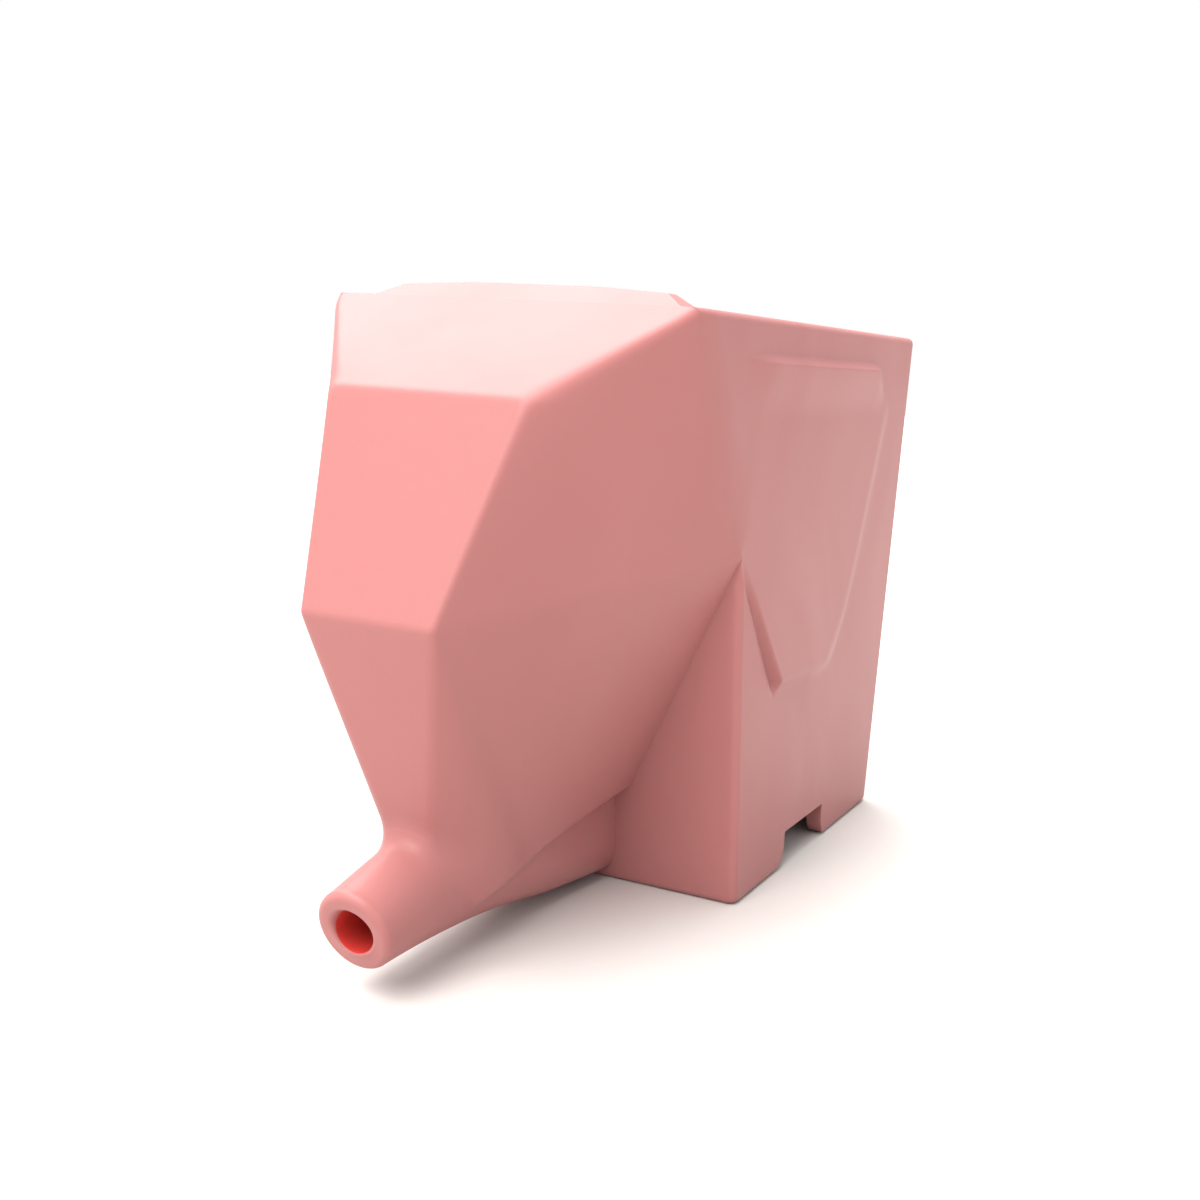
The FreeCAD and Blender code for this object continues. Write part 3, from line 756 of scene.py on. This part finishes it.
@dataclass
class HeadForm:
    """The head and trunk as a distance field, in millimetres from the pot's back foot.

    The head is cut from flat and gently twisted facets with rounded edges. The trunk is a
    rounded tube that grows out of the cheeks.
    """

    pot: PotFrame
    brow: Point = (26.5, 22.0, 18.0)
    nose: Point = (43.5, 14.5, 58.5)
    trunk_brow: Point = (64.5, 4.0, 27.0)
    chin: Point = (53.0, 8.4, 13.5)
    jaw: tuple[float, float] = (15.7, 24.2)
    crest_edge: float = 2.0
    brow_edge: float = 3.0
    side_edge: float = 1.0
    face_edge: float = 0.55
    cheek_edge: float = 0.8
    jaw_edge: float = 1.2
    neck_edge: float = 3.6
    neck_fade: float = 9.0
    temple_at_nose: float = 1.5
    temple_at_chin: float = 17.0
    blend_at_chest: float = 1.5
    blend_at_tip: float = 5.0
    tip_reach: float = 81.25
    tip_height: float = 13.7
    tip_tilt: float = 18.0
    stations: tuple[float, ...] = (-10.0, 22.0, 44.0, 64.4, 81.5)
    bottoms: tuple[float, ...] = (0.8, 2.4, 5.0, 5.7, 5.7)
    tops: tuple[float, ...] = (27.0, 27.0, 28.0, 26.6, 22.3)
    halves: tuple[float, ...] = (12.9, 10.5, 9.4, 8.6, 8.05)
    squareness: tuple[float, ...] = (4.0, 3.0, 2.4, 2.05, 2.0)
    neck_edge_least: float = 0.02
    corners: dict[str, Array] = field(init=False)
    planes: list[tuple[Array, float]] = field(init=False)
    temple: tuple[Array, float] = field(init=False)
    upper: Facet = field(init=False)
    cheek: Facet = field(init=False)

    def __post_init__(self) -> None:
        """Works out the facets from the corners."""
        pot = self.pot
        base, top, low = pot.base_length, pot.height, pot.neck_height
        crest = np.array([pot.crest, pot.half_width_rim, top])
        neck = np.array([pot.chest_x(low), pot.half_width(low), low])
        jaw = np.array([pot.chest_x(self.jaw[1]), self.jaw[0], self.jaw[1]])
        brow = np.array([pot.crest + self.brow[0], self.brow[1], top - self.brow[2]])
        nose = np.array([pot.crest + self.nose[0], self.nose[1], top - self.nose[2]])
        trunk = np.array([base + self.trunk_brow[0], self.trunk_brow[1], self.trunk_brow[2]])
        chin = np.array([base + self.chin[0], self.chin[1], self.chin[2]])
        inside = (crest + neck + nose + jaw) * 0.25
        inside[1] = 0.0
        mirror = np.array([1.0, -1.0, 1.0])
        edges = ((crest, brow), (brow, nose), (nose, trunk), (trunk, chin), (chin, jaw))
        self.planes = [self.plane(a, b, b * mirror, inside) for a, b in edges]
        self.temple = self.plane(nose, trunk, chin, inside)
        self.upper = Facet((crest, brow, neck, nose))
        self.cheek = Facet((neck, nose, jaw, chin))
        self.corners = {"crest": crest, "neck": neck, "jaw": jaw, "brow": brow, "nose": nose,
                        "trunk": trunk, "chin": chin}

    @staticmethod
    def plane(a: Array, b: Array, c: Array, inside: Array) -> tuple[Array, float]:
        """Finds the plane through three corners, facing away from a point inside.

        Args:
            a: The first corner.
            b: The second corner.
            c: The third corner.
            inside: A point inside the head.

        Returns:
            The plane's normal and its distance from the origin along that.
        """
        normal = np.cross(b - a, c - a)
        normal = normal / np.linalg.norm(normal)
        if normal @ (inside - a) > 0.0:
            normal = -normal
        return normal, float(normal @ a)

    def beyond(self, start: str, end: str, x: Array, z: Array) -> tuple[Array, Array]:
        """Side-view place relative to the line between two corners.

        Args:
            start: Name of the first corner.
            end: Name of the second corner.
            x: Places along the head.
            z: Heights.

        Returns:
            Millimetres off the line, positive to the right of its direction, and the share
            of the line's length that the place lies along it.
        """
        a, b = self.corners[start], self.corners[end]
        dx, dz = b[0] - a[0], b[2] - a[2]
        length = math.hypot(dx, dz)
        off = ((x - a[0]) * dz - (z - a[2]) * dx) / length
        along = ((x - a[0]) * dx + (z - a[2]) * dz) / length ** 2
        return off, along

    def half(self, x: Array, z: Array) -> tuple[Array, Array]:
        """Half width of the head's flank, with the crease along the cheek and a soft temple.

        Args:
            x: Places along the head.
            z: Heights.

        Returns:
            The half width, and how much longer the skin is than its side view.
        """
        upper, upper_lean = self.upper.half(x, z)
        cheek, cheek_lean = self.cheek.half(x, z)
        normal, offset = self.temple
        temple = (offset - normal[0] * x - normal[2] * z) / normal[1]
        forward, along = self.beyond("nose", "chin", x, z)
        widening = self.temple_at_chin - self.temple_at_nose
        reach = self.temple_at_nose + widening * np.clip(along, 0.0, 1.0)
        share = ease(0.5 - 0.5 * forward / reach)
        low = cheek * (1.0 - share) + temple * share
        low_lean = cheek_lean * (1.0 - share) + share / normal[1]
        below, _ = self.beyond("neck", "nose", x, z)
        share = ease(0.5 + 0.5 * below / self.cheek_edge)
        width = upper * (1.0 - share) + low * share
        lean = upper_lean * (1.0 - share) + low_lean * share
        above = ease((z - self.pot.neck_height) / self.neck_fade)
        edge = self.neck_edge_least + self.neck_edge * above
        return smooth_min(width, self.pot.half_width(z), edge), lean

    def head(self, x: Array, y: Array, z: Array) -> Array:
        """Measures the distance to the faceted head, negative inside.

        Args:
            x: Places along the head.
            y: Places across it, on the left.
            z: Heights.

        Returns:
            The distances in millimetres.
        """
        half, lean = self.half(x, z)
        flank = (y - half) / lean
        forehead, face, muzzle, throat, under = (
            n[0] * x + n[1] * y + n[2] * z - offset for n, offset in self.planes)
        front = smooth_max(smooth_max(forehead, face, self.face_edge), muzzle, self.face_edge)
        way = np.clip((x - self.corners["crest"][0]) / self.brow[0], 0.0, 1.0)
        rounded = self.crest_edge + (self.brow_edge - self.crest_edge) * way
        upper = ease(0.5 + 0.25 * (forehead - face))
        far = smooth_max(front, flank, self.side_edge + (rounded - self.side_edge) * upper)
        return smooth_max(smooth_max(far, throat, self.face_edge), under, self.jaw_edge)

    def trunk(self, x: Array, y: Array, z: Array) -> Array:
        """Measures the distance to the trunk's tube, negative inside.

        Args:
            x: Places along the head.
            y: Places across it, on the left.
            z: Heights.

        Returns:
            The distances in millimetres.
        """
        reach = x - self.pot.base_length
        bottom, top, half, power = (
            smooth_table(reach, self.stations, values)
            for values in (self.bottoms, self.tops, self.halves, self.squareness))
        rise = 0.5 * (top - bottom)
        middle = 0.5 * (top + bottom)
        across = (y / half) ** power + (np.abs(z - middle) / rise) ** power
        return (np.maximum(across, 1e-9) ** (1.0 / power) - 1.0) * np.minimum(half, rise)

    def distance(self, x: Array, y: Array, z: Array) -> Array:
        """Measures the distance to head and trunk, with the trunk flowing out of the cheeks.

        Args:
            x: Places along the head.
            y: Places across it.
            z: Heights.

        Returns:
            The distances in millimetres.
        """
        side = np.abs(y)
        along = np.clip((x - self.pot.base_length) / self.chin[0], 0.0, 1.0)
        blend = self.blend_at_chest + (self.blend_at_tip - self.blend_at_chest) * along ** 1.5
        return smooth_min(self.head(x, side, z), self.trunk(x, side, z), blend)


def smooth_table(at: Array, places: Sequence[float], values: Sequence[float]) -> Array:
    """Reads a value between known places along a smooth curve.

    Args:
        at: Where to read.
        places: Known places, rising.
        values: The value at each place.

    Returns:
        The values, with flat ends and no overshoot to speak of.
    """
    p = np.array(places)
    v = np.array(values)
    slope = np.gradient(v, p)
    i = np.clip(np.searchsorted(p, at) - 1, 0, len(p) - 2)
    gap = p[i + 1] - p[i]
    t = np.clip((at - p[i]) / gap, 0.0, 1.0)
    return ((2 * t ** 3 - 3 * t ** 2 + 1) * v[i] + (t ** 3 - 2 * t ** 2 + t) * gap * slope[i]
            + (-2 * t ** 3 + 3 * t ** 2) * v[i + 1] + (t ** 3 - t ** 2) * gap * slope[i + 1])


def eased_rows(start: Array, end: Array, count: int) -> Array:
    """Steps from one key section towards the next, closer together near both.

    Args:
        start: The first key section.
        end: The next key section, which is left out.
        count: How many steps to take.

    Returns:
        One row a step.
    """
    even = np.arange(count) / count
    share = 0.35 * even + 0.65 * (0.5 - 0.5 * np.cos(math.pi * even))
    return start + (end - start) * share[:, None]


@dataclass
class Head:
    """The elephant's head and hollow trunk, one moulding.

    Its wall is even as far as the hollow goes, which ends short of the nose.
    """

    form: HeadForm
    wall: float = 2.2
    around: int = 256
    lip: float = 1.5
    mouth: float = 1.0
    bore: float = 4.4
    socket: float = 6.05
    socket_wall: float = 2.2
    drain_slope: float = 3.3
    spout_length: float = 22.0
    steps: tuple[int, ...] = (30, 38, 34, 8, 16)
    feet: tuple[tuple[float, float], ...] = (
        (0.0, 0.0), (12.0, 3.0), (26.0, 3.5), (52.0, 5.5), (58.0, 5.6))
    knees: tuple[tuple[float, float], ...] = (
        (133.0, 57.5), (148.2, 37.5), (155.4, 19.0), (157.6, 16.6))
    muzzle_tops: tuple[tuple[float, float], ...] = ((163.5, 35.0), (161.1, 27.6))
    tip_half: float = 8.0
    hollow_short_by: int = 6
    hollow_stride: int = 4
    dense: int = 1440
    farthest: float = 160.0
    halvings: int = 30

    def sections(self) -> Array:
        """Fans section lines from the neck to the tip.

        Returns:
            One row a section: foot x, z, knee x, z, top x, z.
        """
        corner = self.form.corners
        base = self.form.pot.base_length
        tilt = math.radians(self.form.tip_tilt)
        up = np.array([math.sin(tilt), math.cos(tilt)])
        out = np.array([math.cos(tilt), -math.sin(tilt)])
        tip = np.array([base + self.form.tip_reach, self.form.tip_height]) - self.lip * out
        knees = ((corner["neck"][0], corner["neck"][2]), *self.knees)
        tops = (*((corner[name][0], corner[name][2]) for name in ("crest", "brow", "nose")),
                *self.muzzle_tops)
        keys = [np.array([base + foot[0], foot[1], *knee, *high])
                for foot, knee, high in zip(self.feet, knees, tops)]
        keys.append(np.concatenate([tip - self.tip_half * up, tip, tip + self.tip_half * up]))
        rows = [eased_rows(keys[i], keys[i + 1], n) for i, n in enumerate(self.steps)]
        return np.vstack([*rows, keys[-1][None, :]])

    def cast(self, sections: Array, depth: float) -> Array:
        """Finds the closed outline of every section, a depth below the skin.

        Args:
            sections: Rows from sections().
            depth: How far inside the skin the outline runs.

        Returns:
            Points by section and place around it, starting at the top and going left.
        """
        angle = np.linspace(0.0, 2.0 * math.pi, self.dense, endpoint=False)
        knee = sections[:, 2:4]
        down = sections[:, 0:2] - knee
        up = sections[:, 4:6] - knee
        down = down / np.linalg.norm(down, axis=1, keepdims=True)
        up = up / np.linalg.norm(up, axis=1, keepdims=True)
        low = np.zeros((len(sections), self.dense))
        high = np.full((len(sections), self.dense), self.farthest)

        def at(reach: Array) -> tuple[Array, Array, Array]:
            """Finds the points at a reach from each section's knee.

            Args:
                reach: Millimetres from the knee, by section and angle.

            Returns:
                The points' X, Y and Z.
            """
            rise = reach * np.cos(angle)
            upper = np.maximum(rise, 0.0)[..., None] * up[:, None, :]
            lower = np.maximum(-rise, 0.0)[..., None] * down[:, None, :]
            flat = knee[:, None, :] + upper + lower
            return flat[..., 0], reach * np.sin(angle), flat[..., 1]

        for _ in range(self.halvings):
            middle = 0.5 * (low + high)
            within = self.form.distance(*at(middle)) < -depth
            low = np.where(within, middle, low)
            high = np.where(within, high, middle)
        found = np.stack(at(0.5 * (low + high)), axis=-1)
        return np.stack([self.spaced(ring) for ring in found])

    def spaced(self, ring: Array) -> Array:
        """Spaces one outline's points evenly, closer together where it bends.

        Args:
            ring: The outline's many points.

        Returns:
            Fewer points on it, spaced alike on the left and on the right.
        """
        closed = np.vstack([ring, ring[:1]])
        ahead = np.diff(closed, axis=0)
        step = np.linalg.norm(ahead, axis=1)
        forward = ahead / np.maximum(step, 1e-9)[:, None]
        turn = np.linalg.norm(forward - np.roll(forward, 1, axis=0), axis=1)
        kernel = np.hanning(41)
        kernel = kernel / kernel.sum()
        wide = np.convolve(np.tile(turn, 3), kernel, "same")[len(turn):2 * len(turn)]
        weight = step / step.sum() + 0.55 * wide / max(wide.sum(), 1e-9)
        weight = 0.5 * (weight + weight[::-1])
        total = np.concatenate([[0.0], np.cumsum(weight)])
        target = np.linspace(0.0, total[-1], self.around, endpoint=False)
        return np.stack([np.interp(target, total, closed[:, i]) for i in range(3)], axis=-1)

    def circle(self, centre: Array, facing: Array, radius: float) -> Array:
        """Makes one round ring, starting at the top and going left.

        Args:
            centre: The ring's centre.
            facing: The direction that the ring faces.
            radius: Its radius.

        Returns:
            Its points.
        """
        angle = np.linspace(0.0, 2.0 * math.pi, self.around, endpoint=False)[:, None]
        left = np.array([0.0, 1.0, 0.0])
        top = np.cross(facing, left)
        top = top / np.linalg.norm(top)
        if top[2] < 0.0:
            top = -top
        return centre + radius * (np.cos(angle) * top + np.sin(angle) * left)

    def on_chest(self, ring: Array, uphill: Array) -> Array:
        """Slides a ring's points along the drain until they meet the chest.

        Args:
            ring: The points.
            uphill: The direction along the drain, away from the tip.

        Returns:
            The points on the chest.
        """
        pot = self.form.pot
        lean = pot.chest_lean / pot.height
        gap = ring[:, 0] - (pot.base_length + lean * ring[:, 2])
        return ring + uphill * (gap / (lean * uphill[2] - uphill[0]))[:, None]

    def rings(self) -> list[Array]:
        """Makes all rings of the moulding's skin: outside, lip, bore, socket and inside.

        Returns:
            The rings in order, the last of which closes onto the first.
        """
        form = self.form
        sections = self.sections()
        outside = self.cast(sections, 0.0)
        tilt = math.radians(form.tip_tilt)
        out = np.array([math.cos(tilt), 0.0, -math.sin(tilt)])
        slope = math.radians(self.drain_slope)
        uphill = np.array([-math.cos(slope), 0.0, math.sin(slope)])
        tip = np.array([form.pot.base_length + form.tip_reach, 0.0, form.tip_height])
        rings = list(outside)
        last = outside[-1]
        inward = (tip - self.lip * out) - last
        inward = inward / np.linalg.norm(inward, axis=1, keepdims=True)
        for share in np.linspace(0.0, 1.0, 9)[1:]:
            bend = share * QUARTER_TURN
            rings.append(last + self.lip * (math.sin(bend) * out + (1.0 - math.cos(bend)) * inward))
        for share in np.linspace(0.0, 1.0, 7):
            bend = share * QUARTER_TURN
            facing = out * (1.0 - share) - uphill * share
            centre = tip + uphill * self.mouth * (1.0 - math.cos(bend))
            radius = self.bore + self.mouth * (1.0 - math.sin(bend))
            rings.append(self.circle(centre, facing, radius))
        end = form.pot.chest_x(form.tip_height) + self.spout_length
        run = (tip[0] - end) / -uphill[0]
        for share in (0.04, 0.12, 0.3, 0.6, 1.0):
            rings.append(self.circle(tip + uphill * run * share, -uphill, self.bore))
        inner_end = tip + uphill * run
        socket = self.circle(inner_end, -uphill, self.socket)
        sleeve = self.circle(inner_end, -uphill, self.socket + self.socket_wall)
        rings += [socket, self.on_chest(socket, uphill), self.on_chest(sleeve, uphill), sleeve]
        deep = list(range(0, sum(self.steps[:2]) - self.hollow_short_by, self.hollow_stride))
        rings.extend(self.cast(sections[deep], self.wall)[::-1])
        return rings

    def paint_bore_shade(self, piece: Object, bore_shade: Material) -> None:
        """Paints shade on the bore's faces: a deep red finish that stands in for the shade inside
        it and the light through its wall.

        Args:
            piece: The head.
            bore_shade: The bore's finish.
        """
        form = self.form
        slope = math.radians(self.drain_slope)
        uphill = Vector((-math.cos(slope), 0.0, math.sin(slope)))
        reach = form.pot.back_foot + form.pot.base_length + form.tip_reach
        mouth = Vector((reach, 0.0, form.tip_height))
        piece.data.materials.append(bore_shade)
        # Painted shade: the bore's faces take the deep red finish in place of real shade.
        for face in piece.data.polygons:
            away = face.center / MM - mouth
            if away.cross(uphill).length < self.bore + 0.1 and away.dot(uphill) > self.mouth:
                face.material_index = 1

    def build(self, shell: Material, bore_shade: Material) -> Object:
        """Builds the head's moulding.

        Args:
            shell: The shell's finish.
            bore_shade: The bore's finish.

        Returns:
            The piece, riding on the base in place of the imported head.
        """
        rings = self.rings()
        points = np.vstack(rings)
        points[:, 0] += self.form.pot.back_foot
        faces = tube_faces(len(rings), self.around)
        piece = mesh_piece("elephant_head_skin", points, faces, shell)
        shade(piece.data, Shading.HEAD)
        self.paint_bore_shade(piece, bore_shade)
        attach(piece, "base")
        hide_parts("head_shell")
        log.info("elephant_head_skin built with %d faces", len(piece.data.polygons))
        return piece


# --- The lift-out pieces ---


@dataclass
class Inserts:
    """The drain pan, the strainer cup and its divider."""

    edge_mm: float = 0.45

    def dress(self, cup: Material, pan: Material) -> None:
        """Gives each insert its finish and soft edges.

        Args:
            cup: Finish of the cup and its divider.
            pan: Finish of the drain pan.
        """
        for name, finish in (("strainer_cup", cup), ("cup_divider", cup), ("drain_pan", pan)):
            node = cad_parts[name]
            node.data.materials.clear()
            node.data.materials.append(finish)
            soften_edges(node, self.edge_mm)
            log.info("%s dressed", name)


# --- Studio ---


@dataclass(frozen=True)
class LightPanel:
    """A wide lit panel, far enough away to light the whole table evenly."""

    name: str
    towards: Point
    strength: float
    spread: float
    colour: str = "#fffdfb"

    def make(self) -> Object:
        """Hangs the panel.

        Returns:
            The light's object.
        """
        lamp = bpy.data.lights.new(self.name, "SUN")
        lamp.energy = self.strength
        lamp.angle = math.radians(self.spread)
        lamp.color = linear(self.colour)[:3]
        made = bpy.data.objects.new(self.name, lamp)
        bpy.context.scene.collection.objects.link(made)
        made.location = Vector(self.towards) * 2.0
        made.rotation_euler = Vector(self.towards).to_track_quat("Z", "Y").to_euler()
        return made


@dataclass
class Studio:
    """White table, soft lights and the camera."""

    floor_size: float = 8.0
    sky: float = 1.0
    yaw: float = 203.926
    pitch: float = -11.514
    roll: float = 3.409
    camera_from_centre: Point = (0.28310, 0.15284, 0.11951)
    lens: float = 41.346
    shift: tuple[float, float] = (-0.0899, 0.0390)
    panels: tuple[LightPanel, ...] = (
        LightPanel("front_ceiling_panel", (0.58, -0.05, 0.81), 3.9, 46.0),
        LightPanel("back_window_panel", (-0.33, -0.53, 0.78), 2.4, 45.0),
        LightPanel("middle_ceiling_panel", (0.05, -0.2, 0.98), 2.9, 40.0),
    )

    def make_floor(self, board: Material) -> None:
        """Lays the board that the drainer stands on.

        Args:
            board: The board's finish.
        """
        half = 0.5 * self.floor_size / MM
        points = [(-half, -half, 0.0), (half, -half, 0.0), (half, half, 0.0), (-half, half, 0.0)]
        floor = mesh_piece("white_table", points, [(0, 1, 2, 3)], board)
        floor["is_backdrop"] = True

    def make_lights(self) -> None:
        """Hangs the light panels and fills the room with even light."""
        for panel in self.panels:
            panel.make()
        world = bpy.data.worlds.new("white_room")
        bpy.context.scene.world = world
        world.use_nodes = True
        world.node_tree.nodes.clear()
        glow = add_node(world.node_tree, "ShaderNodeBackground",
                        {"Color": (1.0, 1.0, 1.0, 1.0), "Strength": self.sky})
        add_node(world.node_tree, "ShaderNodeOutputWorld",
                 links={"Surface": glow.outputs["Background"]})

    def make_camera(self) -> None:
        """Places the camera in front of the elephant's left shoulder."""
        data = bpy.data.cameras.new("camera")
        data.sensor_width = 36.0
        data.lens = self.lens
        data.shift_x, data.shift_y = self.shift
        data.clip_start = 0.01
        camera = bpy.data.objects.new("camera", data)
        bpy.context.scene.collection.objects.link(camera)
        yaw, pitch, roll = (math.radians(a) for a in (self.yaw, self.pitch, self.roll))
        level = math.cos(pitch)
        ahead = Vector((level * math.cos(yaw), level * math.sin(yaw), math.sin(pitch)))
        right = ahead.cross(Vector((0.0, 0.0, 1.0))).normalized()
        above = right.cross(ahead)
        turned_right = right * math.cos(roll) + above * math.sin(roll)
        turned_up = above * math.cos(roll) - right * math.sin(roll)
        place = Matrix((turned_right, turned_up, -ahead)).transposed().to_4x4()
        low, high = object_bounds()
        middle = Vector(((low[0] + high[0]) * 0.5, (low[1] + high[1]) * 0.5, low[2]))
        place.translation = middle + Vector(self.camera_from_centre)
        camera.matrix_world = place
        bpy.context.scene.camera = camera

    def make(self, board: Material) -> None:
        """Sets up the whole studio.

        Args:
            board: The finish of the board that the drainer stands on.
        """
        self.make_floor(board)
        self.make_lights()
        self.make_camera()
        bpy.context.scene.view_settings.view_transform = "Standard"
        log.info("studio ready")


def main() -> None:
    """Builds the drainer and its studio, piece by piece."""
    logging.basicConfig(level=logging.INFO, format="%(name)s: %(message)s")
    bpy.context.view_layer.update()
    Studio().make(PaintedBoard().make())
    shell = PINK_SHELL.make()
    pot = PotFrame()
    form = HeadForm(pot)
    Pot(pot, Ear(pot), form).build(shell)
    Head(form).build(shell, BORE_PAINTED_SHADE.make())
    Inserts().dress(PINK_INSERT.make(), PALE_INSERT.make())


if __name__ == "__main__":
    main()
